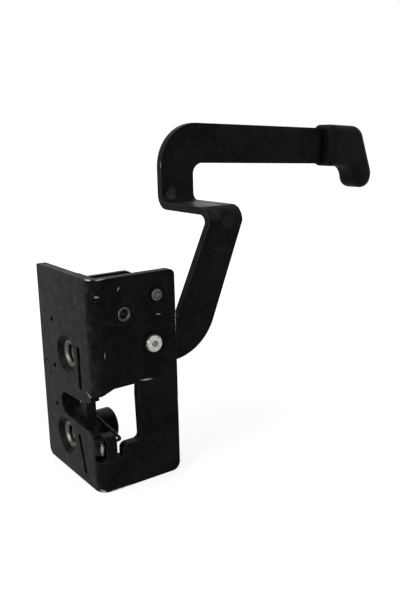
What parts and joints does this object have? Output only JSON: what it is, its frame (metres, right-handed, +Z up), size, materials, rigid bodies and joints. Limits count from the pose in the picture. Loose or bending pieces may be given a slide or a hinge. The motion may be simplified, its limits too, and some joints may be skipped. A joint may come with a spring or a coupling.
{
  "type": "vehicle door latch",
  "caption": "Folded-plate door latch with a hooked catch round a striker slot, a release pawl and a long cranked pull lever that ends in a moulded grip.",
  "frame": {"origin": "bottom corner of the folded plate: X=0 on the front plate's outer face, Y=0 on the side plate's outer face, Z=0 at the plate's lower edge", "axes": "+X along the side plate from the front plate towards the pull grip, +Y from the side plate's outer face into the latch, +Z up"},
  "size_m": [0.177, 0.0468, 0.132],
  "materials": {
    "plate_steel": "satin",
    "lever_steel": "satin",
    "inner_steel": "satin",
    "plated_steel": "satin",
    "spring_steel": "satin",
    "grip_plastic": "matte"
  },
  "bodies": {
    "frame": {"lock_plate": "plate_steel", "inner_bracket": "inner_steel", "lower_bush": "plated_steel", "upper_bush": "plated_steel", "fork_spacer": "plated_steel", "pawl_spacer": "plated_steel", "fork_spring": "spring_steel", "pawl_spring": "spring_steel", "tubular_rivet": "plated_steel", "tube_spacer": "plated_steel", "post_rivet": "plated_steel", "post_spacer": "plated_steel", "pivot_pin": "plated_steel", "thrust_washer": "plated_steel", "spring_collar": "plated_steel", "return_spring": "spring_steel"},
    "pull_lever": {"handle_strap": "lever_steel", "drive_stud": "plated_steel", "handle_grip": "grip_plastic"},
    "release_pawl": {"pawl": "inner_steel"},
    "catch_fork": {"fork": "inner_steel"}
  },
  "joints": [
    {"name": "lever_pull", "type": "hinge", "parent": "frame", "child": "pull_lever", "pos_m": [0.0249, 0, 0.0531], "axis": [0, -1, 0], "range_deg": [0, 12], "stiffness_Nm_per_rad": 3, "springref_deg": -8.59, "deforming": ["return_spring"]},
    {"name": "pawl_turn", "type": "hinge", "parent": "frame", "child": "release_pawl", "pos_m": [0, 0.0231, 0.0483], "axis": [1, 0, 0], "range_deg": [0, 18], "deforming": ["pawl_spring"]},
    {"name": "fork_turn", "type": "hinge", "parent": "frame", "child": "catch_fork", "pos_m": [0, 0.0276, 0.0139], "axis": [1, 0, 0], "range_deg": [0, 51], "deforming": ["fork_spring"]}
  ],
  "couplings": [
    {"joint": "pawl_turn", "follows": "lever_pull", "ratio": 1.5},
    {"joint": "fork_turn", "follows": "lever_pull", "ratio": 4.25}
  ]
}
